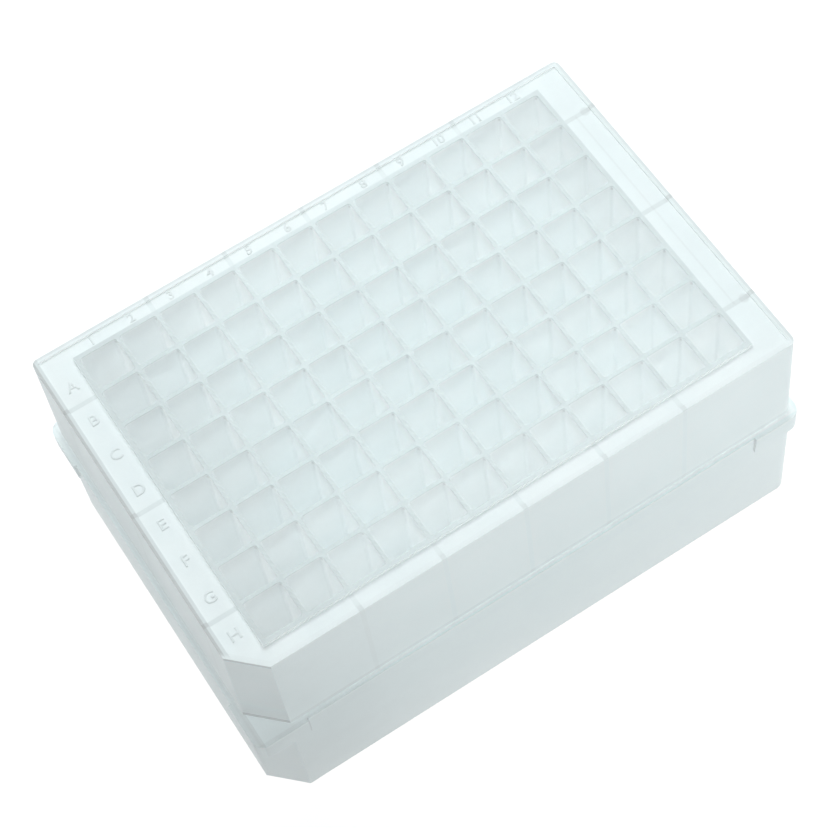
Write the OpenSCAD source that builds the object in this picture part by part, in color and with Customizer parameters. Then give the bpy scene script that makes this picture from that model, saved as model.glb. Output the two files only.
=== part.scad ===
// 96-well deep square-well plate, moulded in one piece from polypropylene.
// Origin: centre of the footprint, on the surface the plate stands on.
// +X runs along the columns from 1 to 12, +Y towards row A, +Z up.

/* [Wells] */
// Number of columns, along X
columns = 12; // [2:1:12]
// Number of rows, along Y
rows = 8; // [2:1:8]
// Distance between the centres of neighbouring wells
pitch = 9; // [8.8:0.1:9.2]
// Inner width of a square well
well_side = 8.2; // [7.4:0.1:8.4]
// Radius of a well's inner vertical corners
well_corner_r = 0.6; // [0.2:0.1:1.5]
// Thickness of the outer wall round the block of wells
block_wall = 1; // [0.8:0.1:1.2]
// Height of the pyramid at the bottom of a well
tip_h = 4.5; // [2:0.1:6]
// Width of the flat at the very bottom of a well
tip_side = 1.5; // [0.6:0.1:3]
// Thickness of the floor under a well
floor_t = 1; // [0.6:0.1:1.5]
// Clearance under the tips of the wells
foot_gap = 3.3; // [1:0.1:8]

/* [Height] */
// Overall height, from the foot of the skirt to the rims of the wells
plate_h = 60; // [50:0.5:64]
// Drop from the rims of the wells to the deck
deck_drop = 1; // [0.4:0.1:2]
// Thickness of the deck round the wells
deck_t = 1.2; // [0.8:0.1:2]
// Height of the lip round the deck
lip_h = 0.55; // [0.3:0.05:1]
// Width of the lip round the deck
lip_t = 1.1; // [0.6:0.1:1.5]

/* [Upper body] */
// Length of the upper body at the deck
body_l = 123.8; // [120:0.1:125]
// Width of the upper body at the deck
body_w = 81.6; // [79:0.1:82.4]
// Radius of its three round corners at the deck
body_r = 1.4; // [1.3:0.1:4]
// Leg of the chamfer at corner H1
body_chamfer = 6.4; // [4:0.1:8]
// Thickness of its outer wall
body_wall = 1.2; // [0.8:0.1:1.2]
// Draft angle of its outer wall
body_draft = 1; // [0:0.1:1.2]

/* [Flange] */
// Length over the corner tabs of the flange
flange_l = 127.76; // [127.2:0.02:128.2]
// Width over the corner tabs of the flange
flange_w = 85.48; // [85:0.02:86]
// Radius of the flange's four corners
flange_r = 2.6; // [1:0.1:4]
// Height of the flange's ledge above the foot
ledge_z = 32; // [24:0.5:40]
// Height of the flange's side face
flange_t = 5.2; // [3:0.1:7]
// Length of each corner tab along its side
tab_l = 11.4; // [8:0.1:20]
// Step back of the flange between the corner tabs
tab_step = 0.5; // [0.2:0.05:0.8]

/* [Skirt] */
// Length of the skirt
skirt_l = 125.6; // [125.4:0.1:126]
// Width of the skirt
skirt_w = 83.8; // [83.2:0.1:84]
// Radius of its three round corners
skirt_r = 2.5; // [1.5:0.1:4]
// Leg of the chamfer at corner H1
skirt_chamfer = 6.6; // [4:0.1:7]
// Thickness of its wall
skirt_wall = 1.3; // [1:0.1:1.6]

/* [Ribs] */
// Thickness of the ribs between the block and the outer wall
rib_t = 1; // [0.6:0.1:1.5]
// Columns between neighbouring ribs on the long sides
rib_columns = 2; // [1:1:4]
// Rows between neighbouring ribs on the short sides
rib_rows = 3; // [1:1:4]
// Distance of the long rib under the deck from the column 12 wall
long_rib_inset = 4.5; // [3:0.1:5]
// Depth of the long rib under the deck
long_rib_h = 2; // [1:0.1:5]
// Diameter of the ejector bosses at the ends of that rib
boss_d = 2; // [1.5:0.1:2.4]
// Depth of the ejector bosses under the deck
boss_h = 4; // [1:0.1:8]

/* [Hidden] */
$fn = 48;
eps = 0.01;
far = 200;

block_l = (columns - 1) * pitch + well_side + 2 * block_wall;
block_w = (rows - 1) * pitch + well_side + 2 * block_wall;
deck_z = plate_h - deck_drop;
under_deck_z = deck_z - deck_t;
tip_z = foot_gap + floor_t;
well_floor_z = tip_z + tip_h;
block_z = well_floor_z - floor_t;
shoulder_z = ledge_z - body_wall;
flange_z = ledge_z - flange_t;

// Widest square that fits inside a well's round corners
tip_mouth = well_side - (2 - sqrt(2)) * well_corner_r;
// Gap between the bottom pyramids of neighbouring wells, on the outside
tip_gap = 0.4;

// How far a 45 degree chamfer's leg shrinks for each millimetre that an outline moves inwards
chamfer_shrink = 2 - sqrt(2);

function column_x(i) = (i - (columns - 1) / 2) * pitch;
function row_y(j) = (j - (rows - 1) / 2) * pitch;

// How far the draft has spread the upper body's wall at height z
function spread(z) = (deck_z - z) * tan(body_draft);

// Walls between neighbouring wells that carry a rib, counted both ways from the middle
rib_xs = [for (k = [-columns : columns])
    if (abs(k * rib_columns * pitch) < columns * pitch / 2 - pitch) k * rib_columns * pitch];
rib_ys = [for (k = [-rows : rows])
    if (abs(k * rib_rows * pitch) < rows * pitch / 2) k * rib_rows * pitch];

module rounded_rectangle(l, w, r) {
    square([l - 2 * r, w], center = true);
    square([l, w - 2 * r], center = true);
    for (sx = [-1, 1], sy = [-1, 1])
        translate([sx * (l / 2 - r), sy * (w / 2 - r)]) circle(r);
}

// A rectangle with three round corners and a 45 degree chamfer at corner H1
module keyed_rectangle(l, w, r, chamfer) {
    difference() {
        rounded_rectangle(l, w, r);
        translate([-l / 2, -w / 2])
            polygon([[-r, -r], [chamfer + r, -r], [-r, chamfer + r]]);
    }
}

// A bar along Y, or along X if turned, whose section widens from top_l to bottom_l downwards
module wedge_bar(bottom_l, top_l, h, length, turned = false) {
    rotate([90, 0, turned ? 90 : 0])
        linear_extrude(length, center = true)
            polygon([[-bottom_l / 2, 0], [bottom_l / 2, 0], [top_l / 2, h], [-top_l / 2, h]]);
}

// A square pyramid cut off at both ends
module pyramid(bottom_side, top_side, h) {
    length = max(bottom_side, top_side) + 1;
    intersection() {
        wedge_bar(bottom_side, top_side, h, length);
        wedge_bar(bottom_side, top_side, h, length, turned = true);
    }
}

// The upper body between two heights, moved in by an inset, with its draft and its chamfer at H1
module drafted_body(z0, z1, inset = 0) {
    h = z1 - z0;
    grow = spread(z0) - spread(z1);
    l = body_l + 2 * (spread(z1) - inset);
    w = body_w + 2 * (spread(z1) - inset);
    r = max(body_r + spread(z1) - inset, 0.2);
    leg = body_chamfer + chamfer_shrink * (spread(z1) - inset);
    translate([0, 0, z0])
        difference() {
            union() {
                wedge_bar(l + 2 * grow, l, h, w - 2 * r);
                wedge_bar(w + 2 * grow, w, h, l - 2 * r, turned = true);
                for (sx = [-1, 1], sy = [-1, 1])
                    translate([sx * (l / 2 - r), sy * (w / 2 - r), 0]) cylinder(h = h, r1 = r + grow, r2 = r);
            }
            translate([-l / 2 + leg / 2, -w / 2 + leg / 2, h])
                rotate([0, body_draft, 45])
                    translate([-far / 2, 0, 0]) cube(far, center = true);
        }
}

module body_outline(inset = 0) {
    keyed_rectangle(body_l - 2 * inset, body_w - 2 * inset, max(body_r - inset, 0.2),
        body_chamfer - chamfer_shrink * inset);
}

module skirt_outline(inset = 0) {
    keyed_rectangle(skirt_l - 2 * inset, skirt_w - 2 * inset, max(skirt_r - inset, 0.2),
        skirt_chamfer - chamfer_shrink * inset);
}

// The flange's outline: full size at the corner tabs and stepped back along each side
module flange_outline() {
    difference() {
        rounded_rectangle(flange_l, flange_w, flange_r);
        for (s = [-1, 1]) {
            translate([0, s * (flange_w / 2 - tab_step + far / 2)])
                square([flange_l - 2 * tab_l, far], center = true);
            translate([s * (flange_l / 2 - tab_step + far / 2), 0])
                square([far, flange_w - 2 * tab_l], center = true);
        }
    }
}

module outer_shell() {
    linear_extrude(ledge_z) skirt_outline();
    translate([0, 0, flange_z]) linear_extrude(flange_t) flange_outline();
    drafted_body(shoulder_z, deck_z);
    translate([0, 0, deck_z - eps])
        linear_extrude(lip_h + eps)
            difference() {
                body_outline();
                body_outline(lip_t);
            }
}

// The space between the outer walls and the block of wells, open at the foot
module hollow() {
    translate([0, 0, -eps]) linear_extrude(shoulder_z + eps) skirt_outline(skirt_wall);
    drafted_body(shoulder_z - eps, under_deck_z, inset = body_wall);
}

// Ribs under the deck, from the block to the middle of the outer wall
module ribs() {
    height = under_deck_z - shoulder_z + eps;
    intersection() {
        drafted_body(shoulder_z, under_deck_z + eps, inset = body_wall / 2);
        translate([0, 0, shoulder_z + height / 2])
            union() {
                for (x = rib_xs) translate([x, 0, 0]) cube([rib_t, far, height], center = true);
                for (y = rib_ys) translate([0, y, 0]) cube([far, rib_t, height], center = true);
            }
    }
}

// A shallow rib under the deck beside column 12, with an ejector boss at each end
module long_rib() {
    end_y = rib_ys[len(rib_ys) - 1];
    boss_x = body_l / 2 - body_wall - boss_d / 2 + eps;
    translate([body_l / 2 - long_rib_inset, 0, under_deck_z - long_rib_h / 2 + eps])
        cube([rib_t, 2 * end_y, long_rib_h], center = true);
    for (s = [-1, 1])
        translate([boss_x, s * end_y, under_deck_z - boss_h]) cylinder(h = boss_h + eps, d = boss_d);
}

module block() {
    translate([-block_l / 2, -block_w / 2, block_z]) cube([block_l, block_w, plate_h - block_z]);
    for (i = [0 : columns - 1], j = [0 : rows - 1])
        translate([column_x(i), row_y(j), foot_gap])
            pyramid(tip_side + 2 * floor_t, pitch - tip_gap, block_z - foot_gap + eps);
}

module well() {
    translate([0, 0, well_floor_z])
        linear_extrude(plate_h - well_floor_z + eps)
            rounded_rectangle(well_side, well_side, well_corner_r);
    translate([0, 0, tip_z]) pyramid(tip_side, tip_mouth, tip_h + eps);
}

module plate() {
    color("azure")
        difference() {
            union() {
                difference() {
                    outer_shell();
                    hollow();
                }
                ribs();
                long_rib();
                block();
            }
            for (i = [0 : columns - 1], j = [0 : rows - 1])
                translate([column_x(i), row_y(j), 0]) well();
        }
}

plate();
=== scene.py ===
"""The looks of a 96-well deep-well plate in natural polypropylene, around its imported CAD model.

Everything is in metres in the CAD frame: +X along the columns, +Y towards row A, +Z up.
"""

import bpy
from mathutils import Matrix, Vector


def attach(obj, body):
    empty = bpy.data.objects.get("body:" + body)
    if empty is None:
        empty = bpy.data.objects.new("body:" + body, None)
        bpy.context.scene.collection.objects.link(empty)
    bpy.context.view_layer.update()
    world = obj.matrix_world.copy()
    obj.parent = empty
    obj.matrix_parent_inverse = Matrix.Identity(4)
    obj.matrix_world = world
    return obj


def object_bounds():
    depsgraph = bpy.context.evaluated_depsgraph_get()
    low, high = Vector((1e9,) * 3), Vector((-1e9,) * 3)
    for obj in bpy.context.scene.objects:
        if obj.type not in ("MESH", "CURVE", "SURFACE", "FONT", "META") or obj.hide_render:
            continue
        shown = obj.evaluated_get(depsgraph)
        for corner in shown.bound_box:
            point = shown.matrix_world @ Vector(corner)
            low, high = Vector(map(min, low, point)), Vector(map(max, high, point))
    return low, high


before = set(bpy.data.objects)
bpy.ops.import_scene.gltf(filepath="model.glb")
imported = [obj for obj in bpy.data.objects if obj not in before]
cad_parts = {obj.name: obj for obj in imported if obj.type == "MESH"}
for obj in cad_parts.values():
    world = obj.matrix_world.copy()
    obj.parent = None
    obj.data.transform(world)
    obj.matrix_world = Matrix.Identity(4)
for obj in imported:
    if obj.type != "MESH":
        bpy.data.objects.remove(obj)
cad_box = [list(v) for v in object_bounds()]

import math

import bpy
from mathutils import Matrix, Vector

MM = 0.001

# Camera, as angles round the plate and a distance to its middle
CAMERA_AZIMUTH = math.radians(23.68)
CAMERA_ELEVATION = math.radians(61.47)
CAMERA_ROLL = math.radians(10.02)
CAMERA_DISTANCE = 476.4 * MM
CAMERA_LENS_MM = 101.6
SENSOR_MM = 36.0
AIM_OFFSET = Vector((-0.16, 2.18, 1.05)) * MM

# Light. The world is brightest towards WORLD_LEAN
WORLD_COLOUR = (0.95, 0.99, 1.0, 1.0)
WORLD_LEVEL = 0.487
WORLD_LEAN = Vector((-0.05, 0.34, -0.15))
KEY_POWER = 2.27
KEY_PLACE = Vector((0.10, 0.25, 0.60))
KEY_SIZE = 0.4
SIDE_POWER = 0.56
SIDE_PLACE = Vector((0.22, -0.35, 0.10))
SIDE_SIZE = 0.2

# Floor: what light takes from it, and how the camera sees it
FLOOR_SIZE = 3.0
FLOOR_ALBEDO = (0.55, 0.55, 0.55, 1.0)
FLOOR_SHADE = (0.3, 0.3, 0.3, 1.0)
FLOOR_GLOW = (0.85, 0.85, 0.85, 1.0)

# Plastic: its skin, the skin of the raised marks, and what light meets inside
SKIN = (0.855, 0.975, 0.985, 1.0)
MARK = (0.82, 0.935, 0.945, 1.0)
INSIDE = (0.997, 0.9995, 0.9998, 1.0)
IOR = 1.49
THROUGH = 0.88
THROUGH_SEEN = 0.3
BOUNCES = 64

# Its unevenness: a noise's scale and detail, the range of the noise that counts, and what it does
CLOUD_SCALE = 60
CLOUD_DETAIL = 2.0
CLOUD_RANGE = (0.4, 0.6)
CLOUD_TINT = (0.98, 0.995, 1.0, 1.0)
ROUGHNESS_RANGE = (0.3, 0.7)
ROUGHNESS_LOW = 0.36
ROUGHNESS_HIGH = 0.44
GRAIN_SCALE = 2500
GRAIN_DETAIL = 3.0
GRAIN_RANGE = (0.3, 0.7)
GRAIN = 0.02
GRAIN_DEPTH = 0.002 * MM
MOTTLE_SCALE = 160
MOTTLE_DETAIL = 2.0
MOTTLE_RANGE = (0.35, 0.65)
MOTTLE = 0.02

# The plate's layout: half sizes along X and Y, and heights above the foot
PITCH = 9 * MM
COLUMNS = 12
ROWS = "ABCDEFGH"
WELL_SIDE = 8.2 * MM
WELL_WALL = PITCH - WELL_SIDE
BLOCK_WALL = 1 * MM
BLOCK_X = ((COLUMNS - 1) * PITCH + WELL_SIDE) / 2 + BLOCK_WALL
BLOCK_Y = ((len(ROWS) - 1) * PITCH + WELL_SIDE) / 2 + BLOCK_WALL
BODY_X = 61.9 * MM
BODY_Y = 40.8 * MM
CHAMFER = 6.4 * MM
RIM_Z = cad_box[1][2]
DECK_DROP = 1 * MM
DECK_Z = RIM_Z - DECK_DROP
LIP_T = 1.1 * MM
LIP_H = 0.55 * MM
LEDGE_X = 63.1 * MM
LEDGE_Y = 41.95 * MM
LEDGE_Z = 32 * MM
FLANGE_X = 63.3 * MM
FLANGE_Y = 42.15 * MM
FLANGE_Z = 26.8 * MM
TAB_X = 52.5 * MM
TAB_Y = 31.3 * MM
RIB_T = 1 * MM
RIB_PITCH_X = 2 * PITCH
RIB_PITCH_Y = 3 * PITCH
RIB_END_X = 5 * PITCH
LONG_RIB_X = 57.4 * MM
BOSS_X = 59.7 * MM
BOSS_R = 1 * MM

# Which way a face points, as the part of its normal that leads there
DIAGONAL = math.sqrt(0.5)
FACING_CORNER = (0.9, 0.96)
FACING_LEFT = (-0.9, -0.6)
FACING_FRONT = (-0.95, -0.85)

# Painted shade and light of the skin. A tone multiplies the colour, and BLUR is how soft a line's sides are
BLUR = 0.25 * MM

# Painted shade over the ribs and bosses under the deck and behind the walls
LONG_SIDE_RIB_SHADE = 0.93
SHORT_SIDE_RIB_SHADE = 0.85
RIB_END_SHADE = 0.9
WALL_RIB_SHADE = 0.95
LONG_RIB_LINE = 0.4 * MM
LONG_RIB_SHADE = 0.93
BOSS_SHADE = 0.85

# Painted shade and light on the deck and lip
DECK_FADE = 6 * MM
DECK_REST = 2 * MM
FRONT_DECK_SHADE = 0.972
BACK_DECK_LIGHT = 1.02
LIP_SHADE = 0.97
LIP_FOOT = 0.1 * MM
LIP_FOOT_LIGHT = 1.2
LEFT_LIP_SHADE = 0.79
LEFT_BRINK = 0.4 * MM
LEFT_BRINK_SHADE = 0.62
BRINK_LINE = 0.45 * MM
BRINK_SHADE = 0.85
UNDER_EDGE = 0.8 * MM
UNDER_EDGE_SHADE = 0.8

# Painted shade and light in the block of wells
RIM_SHADE_DEPTH = 1.4
RIM_SHADE = 0.885
COLUMN_RIM_SHADE = 0.98
OUTER_WELLS = 14 * MM
OUTER_WELLS_SHADE = 0.935
LAST_ROW = 9 * MM
LAST_ROW_FADE = 5 * MM
LAST_ROW_SHADE = 0.965
FIRST_WELLS = 34 * MM
FIRST_WELLS_SHADE = 0.84
WELL_SPREAD = 0.012
DEEP_Z = 46 * MM
DEEP_SHADE = 0.965
MOUTH_Z = 59 * MM
MOUTH_LIGHT = 1.05
BRIM_Z = 57.5 * MM
BRIM_LIGHT = 1.03
SIDE_LIGHT = 1.02
NOOK = 7.4 * MM
NOOK_SHADE = 0.98

# Painted shade and light on the outer walls
WALL_DEPTH = 1.2
WALL_LIGHT = 1.04
CORNER_REACH = 25 * MM
CORNER_SHADE = 0.94
LOW_CORNER_SHADE = 0.95
FRONT_WALL_LIGHT = 1.035
CHAMFER_LIGHT = 1.2
FADE_Z = 42 * MM
FADE_SHADE = 0.8
LEFT_WALL_SHADE = 0.97
LOW_LEFT_SHADE = 0.95
CONTACT_LINE = 1.2 * MM
CONTACT_SHADE = 0.65
FOOT_LINE = 0.6 * MM
FOOT_SHADE = 0.88

# Painted light and shade on the ledge, flange and its corner tabs
LEDGE_LIGHT = 1.15
LEDGE_EDGE_SHADE = 0.9
LEFT_LEDGE_SHADE = 0.81
LEFT_LEDGE_X = 62.75 * MM
LEFT_LEDGE_LINE = 0.5 * MM
LEFT_LEDGE_LINE_SHADE = 0.92
FLANGE_LINE = 0.5 * MM
FLANGE_LIGHT = 1.08
TAB_LINE = 0.3 * MM
TAB_SHADOW = 0.75

# Index marks on the deck
LETTER_X = -57.7 * MM
NUMBER_Y = 38.4 * MM
LETTER_H = 2.4 * MM
NUMBER_H = 2.0 * MM
MARK_RAISE = 0.12 * MM
MARK_ROOT = 0.05 * MM
MARK_SWELL = 0.07 * MM
MARK_CURVE_STEPS = 4
MARK_BEVEL_R = 0.4 * MM
MARK_BEVEL_SAMPLES = 4
FONT_CAP_H = 0.7


def new_material(name):
    material = bpy.data.materials.new(name)
    material.use_nodes = True
    material.node_tree.nodes.clear()
    return material


def mix_shaders(tree, first, second, share):
    mix = tree.nodes.new("ShaderNodeMixShader")
    if isinstance(share, float):
        mix.inputs["Fac"].default_value = share
    else:
        tree.links.new(share, mix.inputs["Fac"])
    tree.links.new(first.outputs[0], mix.inputs[1])
    tree.links.new(second.outputs[0], mix.inputs[2])
    return mix


def mix_colours(tree, share, first, second):
    """A mix of two colours, each given as numbers or as another node's output."""
    mix = tree.nodes.new("ShaderNodeMix")
    mix.data_type = "RGBA"
    tree.links.new(share, mix.inputs["Factor"])
    for socket, colour in ((mix.inputs["A"], first), (mix.inputs["B"], second)):
        if isinstance(colour, (tuple, list)):
            socket.default_value = colour
        else:
            tree.links.new(colour, socket)
    return mix.outputs["Result"]


def translucent(tree, colour):
    shader = tree.nodes.new("ShaderNodeBsdfTranslucent")
    shader.inputs["Color"].default_value = colour
    return shader


def math_node(tree, operation, *values):
    """A Math node's output, with each value a number or another node's output."""
    node = tree.nodes.new("ShaderNodeMath")
    node.operation = operation
    for socket, value in zip(node.inputs, values):
        if isinstance(value, (int, float)):
            socket.default_value = value
        else:
            tree.links.new(value, socket)
    return node.outputs[0]


def ramp(tree, value, start, end, low=0.0, high=1.0):
    """Low up to start, high beyond end, and smooth between the two."""
    node = tree.nodes.new("ShaderNodeMapRange")
    node.interpolation_type = "SMOOTHSTEP"
    tree.links.new(value, node.inputs["Value"])
    for socket, number in (("From Min", start), ("From Max", end), ("To Min", low), ("To Max", high)):
        node.inputs[socket].default_value = number
    return node.outputs[0]


def noise(tree, point, scale, detail):
    node = tree.nodes.new("ShaderNodeTexNoise")
    node.inputs["Scale"].default_value = scale
    node.inputs["Detail"].default_value = detail
    tree.links.new(point, node.inputs["Vector"])
    return node.outputs[0]


class Skin:
    """The plate's skin at a point: where the point is, and the painted shade and light it carries there."""

    def __init__(self, tree, point, normal):
        self.tree = tree
        self.point = point
        self.tone = 1.0
        self.x, self.y, self.z = self.split(point)
        self.out_x = self.m("ABSOLUTE", self.x)
        self.out_y = self.m("ABSOLUTE", self.y)

        facing_x, facing_y, _ = self.split(normal)
        facing_corner = self.m("MULTIPLY", self.m("ADD", facing_x, facing_y), -DIAGONAL)
        self.to_corner = self.ramp(facing_corner, *FACING_CORNER)
        self.to_left = self.fall(facing_x, *FACING_LEFT)
        self.to_front = self.fall(facing_y, *FACING_FRONT)

        # How far the point lies inside the key chamfer, and inside the upper body's outline
        corner = self.m("ADD", self.m("ADD", self.x, self.y), BODY_X + BODY_Y - CHAMFER)
        self.corner = self.m("MULTIPLY", corner, DIAGONAL)
        inset_x = self.m("SUBTRACT", BODY_X, self.out_x)
        inset_y = self.m("SUBTRACT", BODY_Y, self.out_y)
        self.inset = self.m("MINIMUM", self.m("MINIMUM", inset_x, inset_y), self.corner)

        # Whether it lies on the block of wells, on the deck beside it, or on an outer wall
        self.past_x = self.ramp(self.out_x, BLOCK_X - BLUR, BLOCK_X + BLUR)
        self.past_y = self.ramp(self.out_y, BLOCK_Y - BLUR, BLOCK_Y + BLUR)
        beside = self.m("MAXIMUM", self.past_x, self.past_y)
        self.in_block = self.opposite(beside)
        self.on_rim = self.both(self.in_block, self.ramp(self.z, RIM_Z - BLUR, RIM_Z - BLUR / 2))
        self.in_well = self.m("SUBTRACT", self.in_block, self.on_rim)

        high = self.ramp(self.z, DECK_Z - 2 * BLUR, DECK_Z - BLUR)
        front_brink = self.both(self.to_front, self.fall(self.inset, BLUR, 2 * BLUR))
        top = self.both(high, self.opposite(front_brink))
        self.on_deck = self.both(beside, top)
        self.on_wall = self.both(beside, self.opposite(top))
        self.above_ledge = self.ramp(self.z, LEDGE_Z, LEDGE_Z + BLUR)
        self.tinted = self.on_wall

    def m(self, operation, *values):
        """A Math node's output."""
        return math_node(self.tree, operation, *values)

    def split(self, vector):
        """A vector's three numbers."""
        node = self.tree.nodes.new("ShaderNodeSeparateXYZ")
        self.tree.links.new(vector, node.inputs[0])
        return node.outputs

    def ramp(self, value, start, end, low=0.0, high=1.0):
        return ramp(self.tree, value, start, end, low, high)

    def fall(self, value, start, end):
        """1 up to start, 0 beyond end, and smooth between the two."""
        return self.ramp(value, start, end, 1.0, 0.0)

    def stripe(self, value, centre, width):
        """1 at centre, a half at half a width from it, and 0 a little further out."""
        away = self.m("ABSOLUTE", self.m("SUBTRACT", value, centre))
        return self.fall(away, (width - BLUR) / 2, (width + BLUR) / 2)

    def repeated(self, value, spacing):
        """The signed distance to the nearest multiple of a spacing."""
        return self.m("WRAP", value, spacing / 2, -spacing / 2)

    def both(self, first, *others):
        """1 where all the masks are, or the product of all the tones."""
        for other in others:
            first = self.m("MULTIPLY", first, other)
        return first

    def opposite(self, mask):
        """1 where the mask is 0."""
        return self.m("SUBTRACT", 1.0, mask)

    def shade(self, mask, factor):
        """Multiplies the tone by a factor, a number or another node's output, where the mask is 1."""
        if isinstance(factor, float):
            change = factor - 1
        else:
            change = self.m("SUBTRACT", factor, 1.0)
        self.tone = self.both(self.tone, self.m("MULTIPLY_ADD", mask, change, 1.0))

    def tint(self, mask):
        """Lets the walls' deeper colour show where the mask is 1 too."""
        self.tinted = self.m("MAXIMUM", self.tinted, mask)

    def ribs(self):
        """Painted shade over the ribs under the deck and behind the upper walls."""
        rib_x = self.both(self.stripe(self.repeated(self.x, RIB_PITCH_X), 0.0, RIB_T), self.past_y)
        rib_x = self.both(rib_x, self.fall(self.out_x, RIB_END_X, RIB_END_X + BLUR))
        rib_y = self.both(self.stripe(self.repeated(self.y, RIB_PITCH_Y), 0.0, RIB_T), self.past_x)
        self.shade(self.both(rib_x, self.on_deck), LONG_SIDE_RIB_SHADE)
        self.shade(self.both(rib_y, self.on_deck), SHORT_SIDE_RIB_SHADE)
        ribs = self.m("MAXIMUM", rib_x, rib_y)
        deck_ribs = self.both(ribs, self.on_deck)
        self.tint(deck_ribs)
        self.shade(self.both(deck_ribs, self.fall(self.inset, LIP_T, 2 * LIP_T)), RIB_END_SHADE)
        self.shade(self.both(ribs, self.on_wall, self.above_ledge), WALL_RIB_SHADE)

    def long_rib(self):
        """Painted shade along the long rib under the deck beside column 12, and at its two bosses."""
        line = self.stripe(self.x, LONG_RIB_X, LONG_RIB_LINE)
        between = self.fall(self.out_y, RIB_PITCH_Y, RIB_PITCH_Y + BLUR)
        self.shade(self.both(line, between, self.on_deck), LONG_RIB_SHADE)
        along = self.m("POWER", self.m("SUBTRACT", self.x, BOSS_X), 2.0)
        aside = self.m("POWER", self.m("SUBTRACT", self.out_y, RIB_PITCH_Y), 2.0)
        away = self.m("SQRT", self.m("ADD", along, aside))
        self.shade(self.both(self.fall(away, BOSS_R - BLUR, BOSS_R + BLUR), self.on_deck), BOSS_SHADE)

    def deck(self):
        """The deck's long sides: painted shade at the front, and painted light at the back."""
        front = self.m("MULTIPLY", self.y, -1.0)
        for out, tone in ((front, FRONT_DECK_SHADE), (self.y, BACK_DECK_LIGHT)):
            strip = self.ramp(out, BLOCK_Y - DECK_FADE, BLOCK_Y + DECK_REST)
            self.shade(self.both(self.on_deck, strip), tone)

    def lip(self):
        """The deck's lip: painted light at its foot, and painted shade beside column 1 and along its edges.
        """
        # Painted shade on the lip's top, then painted light on its inner foot
        self.shade(self.both(self.fall(self.inset, LIP_T, LIP_T + BLUR), self.on_deck), LIP_SHADE)
        above_foot = self.ramp(self.z, DECK_Z + LIP_FOOT, DECK_Z + 2 * LIP_FOOT)
        below_top = self.fall(self.z, DECK_Z + LIP_H - LIP_FOOT, DECK_Z + LIP_H)
        inner = self.both(self.stripe(self.inset, LIP_T, BLUR), above_foot, below_top, self.on_deck)
        self.shade(inner, LIP_FOOT_LIGHT)

        # Painted shade in a band beside column 1, with the walls' deeper colour, darkest at the brink
        left = self.m("ADD", self.x, BODY_X)
        near_left = self.both(self.fall(left, LIP_T, LIP_T + BLUR), self.on_deck)
        near_left = self.both(near_left, self.ramp(self.corner, 0.0, LIP_T))
        self.tint(near_left)
        self.shade(near_left, LEFT_LIP_SHADE)
        self.shade(self.both(near_left, self.fall(left, LEFT_BRINK, LEFT_BRINK + BLUR)), LEFT_BRINK_SHADE)

        # Painted shade lines along the far edges, and under the chamfer's top edge
        right = self.m("SUBTRACT", BODY_X, self.x)
        back = self.m("SUBTRACT", BODY_Y, self.y)
        far = self.fall(self.m("MINIMUM", right, back), BRINK_LINE, BRINK_LINE + BLUR)
        self.shade(self.both(far, self.on_deck), BRINK_SHADE)
        self.shade(self.both(self.to_corner, self.stripe(self.z, DECK_Z, UNDER_EDGE)), UNDER_EDGE_SHADE)

    def rims(self):
        """Painted shade on the rims of the wells, a little darker between columns than between rows."""
        self.shade(self.on_rim, RIM_SHADE)
        across = self.stripe(self.repeated(self.x, PITCH), 0.0, WELL_WALL)
        self.shade(self.both(across, self.on_rim), COLUMN_RIM_SHADE)

    def wells(self):
        """The wells: painted shade and light by place in the block, and inside by depth, side and corner."""
        front = self.m("ADD", self.y, BLOCK_Y)
        right = self.m("SUBTRACT", BLOCK_X, self.x)
        outer = self.ramp(self.m("MINIMUM", right, front), 0.0, OUTER_WELLS, OUTER_WELLS_SHADE, 1.0)
        last_row = self.ramp(front, LAST_ROW, LAST_ROW + LAST_ROW_FADE, LAST_ROW_SHADE, 1.0)
        first = self.ramp(self.x, -BLOCK_X, FIRST_WELLS - BLOCK_X, FIRST_WELLS_SHADE, 1.0)
        self.shade(self.in_block, self.both(outer, last_row, first, self.each_well()))

        depth = self.ramp(self.z, DEEP_Z, MOUTH_Z, DEEP_SHADE, MOUTH_LIGHT)
        brim = self.ramp(self.z, BRIM_Z, RIM_Z, 1.0, BRIM_LIGHT)
        side = self.m("MULTIPLY_ADD", self.to_left, SIDE_LIGHT - 1, 1.0)
        centre_x = self.repeated(self.m("ADD", self.x, PITCH / 2), PITCH)
        centre_y = self.repeated(self.m("ADD", self.y, PITCH / 2), PITCH)
        nook = self.ramp(self.m("ADD", centre_x, centre_y), NOOK - BLUR, NOOK + BLUR, 1.0, NOOK_SHADE)
        self.shade(self.in_well, self.both(depth, brim, side, nook))

    def each_well(self):
        """A slightly different tone for each well."""
        snap = self.tree.nodes.new("ShaderNodeVectorMath")
        snap.operation = "SNAP"
        snap.inputs[1].default_value = (PITCH, PITCH, 1.0)
        self.tree.links.new(self.point, snap.inputs[0])
        chance = self.tree.nodes.new("ShaderNodeTexWhiteNoise")
        self.tree.links.new(snap.outputs[0], chance.inputs["Vector"])
        return self.ramp(chance.outputs["Value"], 0.0, 1.0, 1.0 - WELL_SPREAD, 1.0 + WELL_SPREAD)

    def walls(self):
        """The outer walls: painted shade at the key corner, on the left, and in lines at the ledge and the
        foot.
        """
        below_ledge = self.both(self.on_wall, self.opposite(self.above_ledge))
        # Painted shade near the key corner, and painted light further from it
        self.shade(self.on_wall, self.ramp(self.corner, 0.0, CORNER_REACH, CORNER_SHADE, WALL_LIGHT))
        self.shade(below_ledge, self.ramp(self.corner, 0.0, CORNER_REACH, LOW_CORNER_SHADE, 1.0))
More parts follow.
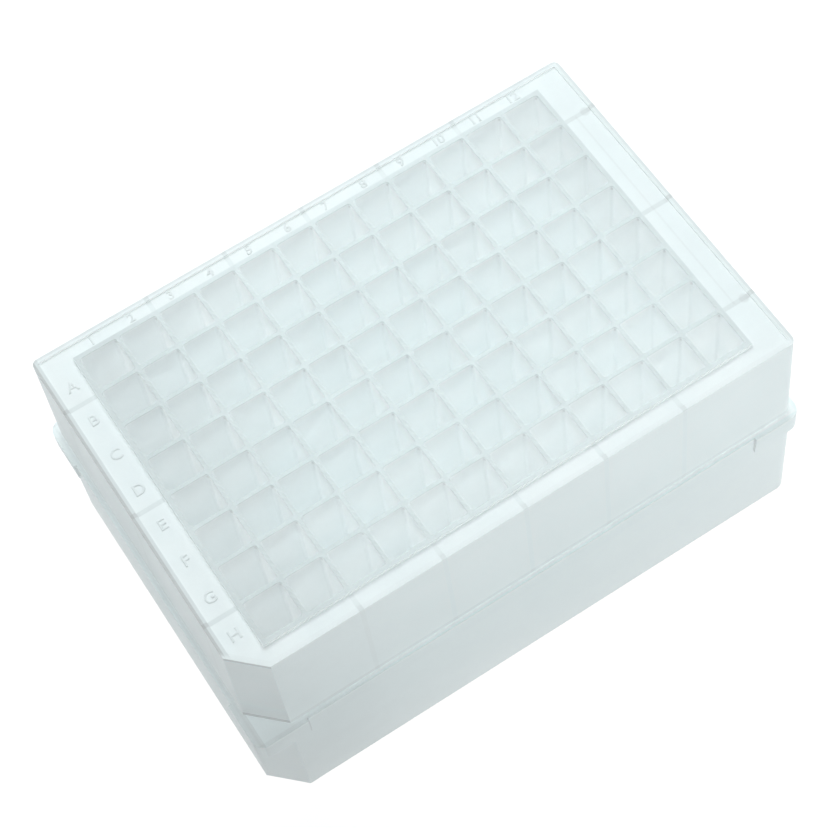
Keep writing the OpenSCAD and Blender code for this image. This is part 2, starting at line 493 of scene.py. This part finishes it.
        # Painted light on the upper front wall, and painted shade on the left
        self.shade(self.both(self.to_front, self.on_wall, self.above_ledge), FRONT_WALL_LIGHT)
        self.shade(self.both(self.to_left, self.on_wall), LEFT_WALL_SHADE)
        self.shade(self.both(self.to_left, below_ledge), LOW_LEFT_SHADE)

        # Painted light on the chamfer, and painted shade rising from its foot
        on_chamfer = self.both(self.to_corner, self.on_wall)
        self.shade(on_chamfer, CHAMFER_LIGHT)
        fading = self.ramp(self.z, LEDGE_Z, FADE_Z, FADE_SHADE, 1.0)
        self.shade(self.both(on_chamfer, self.above_ledge), fading)

        # Painted shade lines where the walls meet the ledge, darkest at the chamfer, and along the plate's
        # foot
        foot = self.stripe(self.z, LEDGE_Z + CONTACT_LINE / 2 + BLUR, CONTACT_LINE)
        self.shade(self.both(foot, self.on_wall), FOOT_SHADE)
        self.shade(self.both(foot, on_chamfer), CONTACT_SHADE)
        self.shade(self.both(self.fall(self.z, 0.0, FOOT_LINE), self.on_wall), FOOT_SHADE)

    def flange(self):
        """The flange: painted light on the ledge and a line below it, painted shade at edges and tab ends."""
        ledge = self.both(self.on_wall, self.stripe(self.z, LEDGE_Z, BLUR))
        self.shade(ledge, LEDGE_LIGHT)
        # Painted shade on the ledge's left end
        left_ledge = self.both(ledge, self.fall(self.x, -BODY_X - BLUR, -BODY_X))
        self.shade(left_ledge, LEFT_LEDGE_SHADE)
        self.shade(self.both(left_ledge, self.stripe(self.x, -LEFT_LEDGE_X, LEFT_LEDGE_LINE)), LEFT_LEDGE_LINE_SHADE)
        edge_x = self.ramp(self.x, LEDGE_X - BLUR, LEDGE_X)
        edge_y = self.ramp(self.out_y, LEDGE_Y - BLUR, LEDGE_Y)
        self.shade(self.both(ledge, self.m("MAXIMUM", edge_x, edge_y)), LEDGE_EDGE_SHADE)

        beyond_x = self.ramp(self.out_x, FLANGE_X - BLUR / 2, FLANGE_X)
        beyond_y = self.ramp(self.out_y, FLANGE_Y - BLUR / 2, FLANGE_Y)
        beyond = self.m("MAXIMUM", beyond_x, beyond_y)
        below_top = self.fall(self.z, LEDGE_Z - BLUR, LEDGE_Z - BLUR / 2)
        near_ledge = self.ramp(self.z, LEDGE_Z - 2 * FLANGE_LINE, LEDGE_Z - FLANGE_LINE)
        self.shade(self.both(beyond, below_top, near_ledge), FLANGE_LIGHT)
        # Painted shadow at the ends of the corner tabs
        end_x = self.both(self.stripe(self.out_x, TAB_X, TAB_LINE), beyond_y)
        end_y = self.both(self.stripe(self.out_y, TAB_Y, TAB_LINE), beyond_x)
        at_flange = self.ramp(self.z, FLANGE_Z - BLUR / 2, FLANGE_Z)
        self.shade(self.both(self.m("MAXIMUM", end_x, end_y), at_flange), TAB_SHADOW)


def deepened(colour, depth):
    """A deeper, darker copy of a colour, with each channel raised to a power."""
    return [channel ** depth for channel in colour]


def skin_of_plate(tree, point, normal):
    """The plate's skin, with the painted shade and light of all that lies in it and under it."""
    skin = Skin(tree, point, normal)
    skin.ribs()
    skin.long_rib()
    skin.deck()
    skin.lip()
    skin.rims()
    skin.wells()
    skin.walls()
    skin.flange()
    return skin


def grained(tree, grain, rounded):
    """A normal with the plastic's fine grain on it, and with round edges where asked."""
    bump = tree.nodes.new("ShaderNodeBump")
    bump.inputs["Distance"].default_value = GRAIN_DEPTH
    bump.inputs["Strength"].default_value = 1.0
    tree.links.new(grain, bump.inputs["Height"])
    if rounded:
        bevel = tree.nodes.new("ShaderNodeBevel")
        bevel.samples = MARK_BEVEL_SAMPLES
        bevel.inputs["Radius"].default_value = MARK_BEVEL_R
        tree.links.new(bevel.outputs[0], bump.inputs["Normal"])
    return bump.outputs[0]


def polypropylene(name, colour, is_mark=False):
    """Natural polypropylene: a milky satin skin, and thin walls that light runs through inside."""
    material = new_material(name)
    tree = material.node_tree
    nodes, links = tree.nodes, tree.links
    out = nodes.new("ShaderNodeOutputMaterial")
    place = nodes.new("ShaderNodeTexCoord")
    point = place.outputs["Object"]
    cloud = noise(tree, point, CLOUD_SCALE, CLOUD_DETAIL)
    grain = noise(tree, point, GRAIN_SCALE, GRAIN_DETAIL)
    mottle = noise(tree, point, MOTTLE_SCALE, MOTTLE_DETAIL)

    cloudy = [share * channel for share, channel in zip(CLOUD_TINT, colour)]
    skin_colour = mix_colours(tree, ramp(tree, cloud, *CLOUD_RANGE), colour, cloudy)
    grain_tone = ramp(tree, grain, *GRAIN_RANGE, 1.0 - GRAIN, 1.0)
    mottle_tone = ramp(tree, mottle, *MOTTLE_RANGE, 1.0 - MOTTLE, 1.0)
    tone = math_node(tree, "MULTIPLY", grain_tone, mottle_tone)
    if not is_mark:
        # On the plate the tone also carries painted shade and light
        plate_skin = skin_of_plate(tree, point, place.outputs["Normal"])
        # Painted shade: the rims also get a deeper, darker colour
        skin_colour = mix_colours(tree, plate_skin.on_rim, skin_colour, deepened(colour, RIM_SHADE_DEPTH))
        # Deeper colour on the walls and the deck ribs; in the band beside column 1 it is painted shade
        skin_colour = mix_colours(tree, plate_skin.tinted, skin_colour, deepened(colour, WALL_DEPTH))
        tone = math_node(tree, "MULTIPLY", tone, plate_skin.tone)
    toned = nodes.new("ShaderNodeVectorMath")
    toned.operation = "SCALE"
    links.new(skin_colour, toned.inputs[0])
    links.new(tone, toned.inputs["Scale"])

    skin = nodes.new("ShaderNodeBsdfPrincipled")
    skin.inputs["IOR"].default_value = IOR
    links.new(toned.outputs[0], skin.inputs["Base Color"])
    roughness = ramp(tree, cloud, *ROUGHNESS_RANGE, ROUGHNESS_LOW, ROUGHNESS_HIGH)
    links.new(roughness, skin.inputs["Roughness"])
    links.new(grained(tree, grain, rounded=is_mark), skin.inputs["Normal"])
    seen = mix_shaders(tree, skin, translucent(tree, INSIDE), THROUGH_SEEN)
    milk = nodes.new("ShaderNodeBsdfDiffuse")
    milk.inputs["Color"].default_value = INSIDE
    inside = mix_shaders(tree, milk, translucent(tree, INSIDE), THROUGH)
    path = nodes.new("ShaderNodeLightPath")
    plastic = mix_shaders(tree, inside, seen, path.outputs["Is Camera Ray"])
    links.new(plastic.outputs[0], out.inputs["Surface"])
    return material


def floor_material():
    """A floor that takes light as paper does. Its glow shows it as white, and hides the shadow on it."""
    material = new_material("white_floor")
    tree = material.node_tree
    nodes, links = tree.nodes, tree.links
    out = nodes.new("ShaderNodeOutputMaterial")
    paper = nodes.new("ShaderNodeBsdfDiffuse")
    paper.inputs["Color"].default_value = FLOOR_ALBEDO
    shade = nodes.new("ShaderNodeBsdfDiffuse")
    shade.inputs["Color"].default_value = FLOOR_SHADE
    white = nodes.new("ShaderNodeEmission")
    white.inputs["Color"].default_value = FLOOR_GLOW
    table = nodes.new("ShaderNodeAddShader")
    links.new(shade.outputs[0], table.inputs[0])
    links.new(white.outputs[0], table.inputs[1])
    path = nodes.new("ShaderNodeLightPath")
    shown = path.outputs["Is Camera Ray"]
    for ray in ("Is Glossy Ray", "Is Transmission Ray"):
        either = nodes.new("ShaderNodeMath")
        either.operation = "MAXIMUM"
        links.new(shown, either.inputs[0])
        links.new(path.outputs[ray], either.inputs[1])
        shown = either.outputs[0]
    links.new(mix_shaders(tree, paper, table, shown).outputs[0], out.inputs["Surface"])
    return material


def add_floor():
    half = FLOOR_SIZE / 2
    corners = [(-half, -half, 0), (half, -half, 0), (half, half, 0), (-half, half, 0)]
    mesh = bpy.data.meshes.new("floor")
    mesh.from_pydata(corners, [], [(0, 1, 2, 3)])
    mesh.materials.append(floor_material())
    floor = bpy.data.objects.new("floor", mesh)
    bpy.context.collection.objects.link(floor)


def add_world():
    """Soft studio light all round, stronger towards one side."""
    world = bpy.data.worlds.new("studio")
    bpy.context.scene.world = world
    world.use_nodes = True
    tree = world.node_tree
    background = tree.nodes["Background"]
    background.inputs["Color"].default_value = WORLD_COLOUR
    towards = tree.nodes.new("ShaderNodeVectorMath")
    towards.operation = "DOT_PRODUCT"
    towards.inputs[1].default_value = WORLD_LEAN
    tree.links.new(tree.nodes.new("ShaderNodeTexCoord").outputs["Generated"], towards.inputs[0])
    strength = math_node(tree, "ADD", towards.outputs["Value"], WORLD_LEVEL)
    tree.links.new(math_node(tree, "MAXIMUM", strength, 0.0), background.inputs["Strength"])


def add_softbox(name, place, target, size, power):
    data = bpy.data.lights.new(name, "AREA")
    data.size = size
    data.energy = power
    light = bpy.data.objects.new(name, data)
    bpy.context.collection.objects.link(light)
    light.location = place
    light.rotation_euler = (target - place).to_track_quat("-Z", "Y").to_euler()
    light.visible_camera = False


def add_camera(middle):
    data = bpy.data.cameras.new("camera")
    data.lens = CAMERA_LENS_MM
    data.sensor_width = SENSOR_MM
    camera = bpy.data.objects.new("camera", data)
    bpy.context.collection.objects.link(camera)
    turn = Matrix.Rotation(-CAMERA_AZIMUTH, 4, "Z")
    tilt = Matrix.Rotation(math.pi / 2 - CAMERA_ELEVATION, 4, "X")
    back = Matrix.Translation((0, 0, CAMERA_DISTANCE))
    roll = Matrix.Rotation(-CAMERA_ROLL, 4, "Z")
    camera.matrix_world = Matrix.Translation(middle + AIM_OFFSET) @ turn @ tilt @ back @ roll
    bpy.context.scene.camera = camera


def raised_marks(name, words, height, deck_z, material):
    """One mesh of raised characters, each centred on its own point of the deck."""
    parts = []
    for word, (x, y) in words:
        curve = bpy.data.curves.new("word", "FONT")
        curve.body = word
        curve.size = height / FONT_CAP_H
        curve.align_x, curve.align_y = "CENTER", "CENTER"
        curve.extrude = (MARK_RAISE + MARK_ROOT) / 2
        curve.resolution_u = MARK_CURVE_STEPS
        curve.offset = MARK_SWELL
        word_ob = bpy.data.objects.new("word", curve)
        bpy.context.collection.objects.link(word_ob)
        word_ob.location = (x, y, deck_z + (MARK_RAISE - MARK_ROOT) / 2)
        parts.append(word_ob)
    bpy.context.view_layer.update()
    depsgraph = bpy.context.evaluated_depsgraph_get()
    points, faces = [], []
    for word_ob in parts:
        mesh = word_ob.evaluated_get(depsgraph).to_mesh()
        start = len(points)
        points += [word_ob.matrix_world @ v.co for v in mesh.vertices]
        faces += [[start + i for i in face.vertices] for face in mesh.polygons]
    for word_ob in parts:
        curve = word_ob.data
        bpy.data.objects.remove(word_ob)
        bpy.data.curves.remove(curve)
    mesh = bpy.data.meshes.new(name)
    mesh.from_pydata(points, [], faces)
    mesh.materials.append(material)
    marks = bpy.data.objects.new(name, mesh)
    bpy.context.collection.objects.link(marks)
    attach(marks, "root")
    return marks


def column_x(column):
    return (column - (COLUMNS - 1) / 2) * PITCH


def row_y(row):
    return ((len(ROWS) - 1) / 2 - row) * PITCH


low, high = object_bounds()
middle = (low + high) / 2
deck_z = high.z - DECK_DROP
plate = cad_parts["plate"]
plate.data.materials.clear()
plate.data.materials.append(polypropylene("natural_polypropylene", SKIN))
mark_material = polypropylene("raised_polypropylene", MARK, is_mark=True)
letters = [(letter, (LETTER_X, row_y(row))) for row, letter in enumerate(ROWS)]
numbers = [(str(column + 1), (column_x(column), NUMBER_Y)) for column in range(COLUMNS)]
raised_marks("row_letters", letters, LETTER_H, deck_z, mark_material)
raised_marks("column_numbers", numbers, NUMBER_H, deck_z, mark_material)

add_floor()
add_world()
add_softbox("key_softbox", KEY_PLACE, middle, KEY_SIZE, KEY_POWER)
add_softbox("side_softbox", SIDE_PLACE, middle, SIDE_SIZE, SIDE_POWER)
add_camera(middle)

scene = bpy.context.scene
scene.view_settings.view_transform = "Standard"
scene.cycles.max_bounces = BOUNCES
scene.cycles.diffuse_bounces = BOUNCES
scene.cycles.transmission_bounces = BOUNCES
scene.cycles.use_denoising = True
